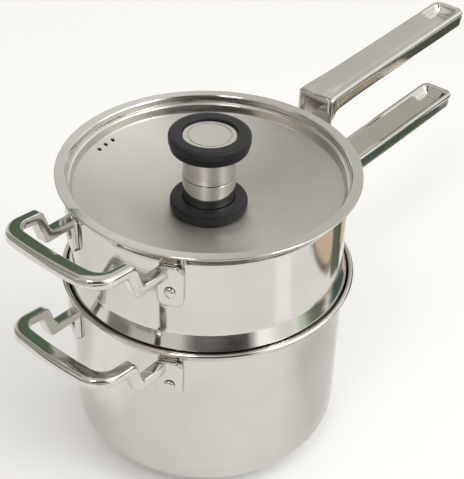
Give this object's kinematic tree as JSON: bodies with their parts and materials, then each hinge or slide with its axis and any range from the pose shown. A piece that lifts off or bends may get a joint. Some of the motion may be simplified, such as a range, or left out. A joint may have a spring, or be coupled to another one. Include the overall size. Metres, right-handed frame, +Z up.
{
  "type": "steamer pot",
  "caption": "Stovetop steamer pot: saucepan, lift-out steamer inset with a perforated floor, dished lid with a central knob, riveted long and helper handles.",
  "frame": {"origin": "centre of the base disc's flat underside, on the surface the pot stands on", "axes": "+Z up the pot's axis, +X from the axis along the long handles, the helper handles at -X"},
  "size_m": [0.4193, 0.1896, 0.2236],
  "materials": {
    "polished_steel": "polished stainless steel",
    "lid_steel": "satin spun stainless steel",
    "cast_handle_steel": "polished cast stainless steel",
    "rivet_steel": "satin stainless steel",
    "base_aluminium": "plain aluminium core",
    "brushed_base_steel": "circular brushed stainless steel",
    "knob_black": "moulded matte black",
    "knob_steel": "polished stainless steel",
    "knob_cap_steel": "satin stainless steel",
    "fastener_steel": "plain stainless steel"
  },
  "bodies": {
    "pot": {"pot_body": "polished_steel", "base_core": "base_aluminium", "base_cap": "brushed_base_steel", "pot_long_handle": "cast_handle_steel", "pot_long_handle_rivet_1": "rivet_steel", "pot_long_handle_rivet_2": "rivet_steel", "pot_helper_handle": "cast_handle_steel", "pot_helper_handle_rivet_1": "rivet_steel", "pot_helper_handle_rivet_2": "rivet_steel"},
    "steamer": {"steamer_body": "polished_steel", "steamer_long_handle": "cast_handle_steel", "steamer_long_handle_rivet_1": "rivet_steel", "steamer_long_handle_rivet_2": "rivet_steel", "steamer_helper_handle": "cast_handle_steel", "steamer_helper_handle_rivet_1": "rivet_steel", "steamer_helper_handle_rivet_2": "rivet_steel"},
    "lid": {"lid_panel": "lid_steel", "knob_base_ring": "knob_black", "knob_lower_sleeve": "knob_steel", "knob_upper_sleeve": "knob_steel", "knob_top_ring": "knob_black", "knob_cap_disc": "knob_cap_steel", "knob_washer": "fastener_steel", "knob_screw": "fastener_steel"}
  },
  "joints": [
    {"name": "steamer_lift", "type": "slide", "parent": "pot", "child": "steamer", "axis": [0, 0, 1], "range_m": [0, 0.16]},
    {"name": "lid_lift", "type": "slide", "parent": "steamer", "child": "lid", "axis": [0, 0, 1], "range_m": [0, 0.12]}
  ]
}
